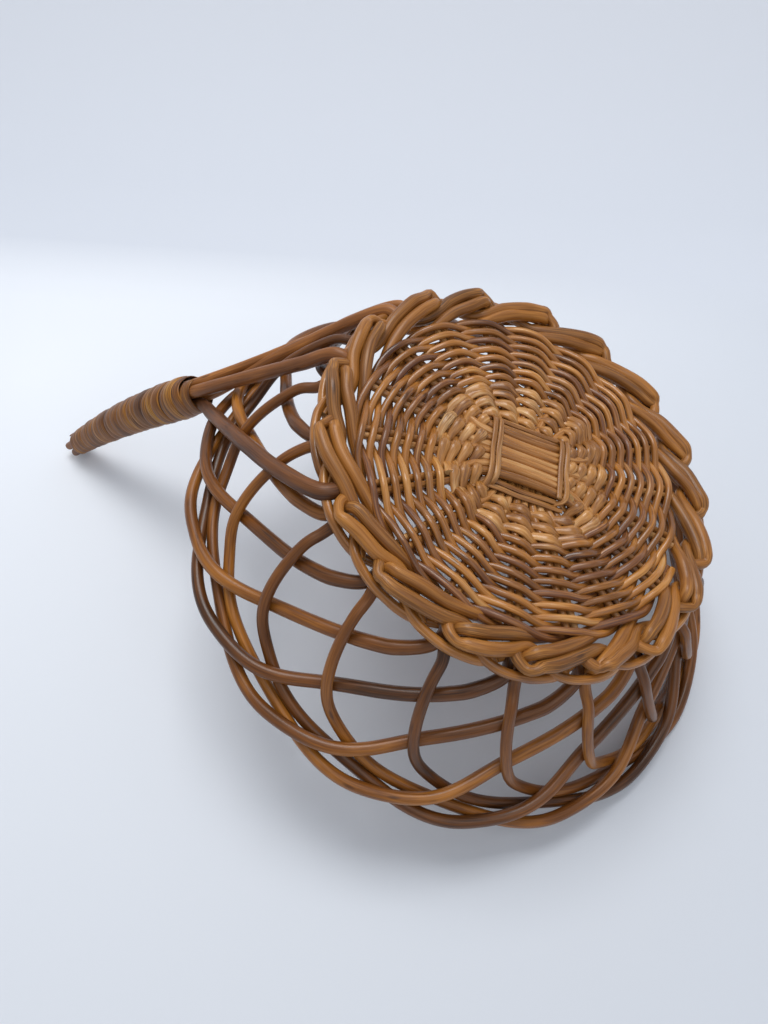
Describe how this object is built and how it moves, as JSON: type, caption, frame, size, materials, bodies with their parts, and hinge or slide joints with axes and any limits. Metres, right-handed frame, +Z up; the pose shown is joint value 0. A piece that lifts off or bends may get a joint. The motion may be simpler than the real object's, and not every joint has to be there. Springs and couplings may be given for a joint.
{
  "type": "collection basket",
  "caption": "Round openwork willow basket lying upside down: interlaced arched rods, a twined woven base with a plaited border, and a straight bound handle.",
  "frame": {"origin": "middle of the overall box in plan, on the floor that the rim and the handle tip stand on", "axes": "+X away from the handle along the overall length, +Z up as it lies in the picture, upside down and leaning"},
  "size_m": [0.4422, 0.3158, 0.1779],
  "materials": {
    "lattice_willow": "satin, stained willow in the round",
    "base_stick_willow": "satin, stained willow in the round",
    "base_weaver_willow": "satin, thin stained willow",
    "slath_binding_willow": "satin, thin flat willow",
    "wale_willow": "satin, thin stained willow",
    "handle_bark": "matt, willow with its dark bark",
    "peeled_skein": "satin, split and peeled willow strip"
  },
  "bodies": {
    "root": {"lattice_rod_01": "lattice_willow", "lattice_rod_02": "lattice_willow", "lattice_rod_03": "lattice_willow", "lattice_rod_04": "lattice_willow", "lattice_rod_05": "lattice_willow", "lattice_rod_06": "lattice_willow", "lattice_rod_07": "lattice_willow", "lattice_rod_08": "lattice_willow", "lattice_rod_09": "lattice_willow", "lattice_rod_10": "lattice_willow", "lattice_rod_11": "lattice_willow", "lattice_rod_12": "lattice_willow", "lattice_rod_13": "lattice_willow", "lattice_rod_14": "lattice_willow", "lattice_rod_15": "lattice_willow", "lattice_rod_16": "lattice_willow", "lattice_rod_17": "lattice_willow", "lattice_rod_18": "lattice_willow", "base_stick_across_1": "base_stick_willow", "base_stick_across_2": "base_stick_willow", "base_stick_across_3": "base_stick_willow", "base_stick_across_4": "base_stick_willow", "base_stick_across_5": "base_stick_willow", "base_stick_across_6": "base_stick_willow", "base_stick_across_7": "base_stick_willow", "base_stick_across_8": "base_stick_willow", "base_stick_under_01": "base_stick_willow", "base_stick_under_02": "base_stick_willow", "base_stick_under_03": "base_stick_willow", "base_stick_under_04": "base_stick_willow", "base_stick_under_05": "base_stick_willow", "base_stick_under_06": "base_stick_willow", "base_stick_under_07": "base_stick_willow", "base_stick_under_08": "base_stick_willow", "base_stick_under_09": "base_stick_willow", "base_stick_under_10": "base_stick_willow", "slath_binding_over": "slath_binding_willow", "slath_binding_under": "slath_binding_willow", "base_weaver_over": "base_weaver_willow", "base_weaver_under": "base_weaver_willow", "wale_outside": "wale_willow", "wale_inside": "wale_willow", "handle_rod_top_outer": "handle_bark", "handle_rod_top_inner": "handle_bark", "handle_rod_middle": "handle_bark", "handle_rod_lower": "handle_bark", "handle_winding": "peeled_skein"}
  },
  "joints": []
}
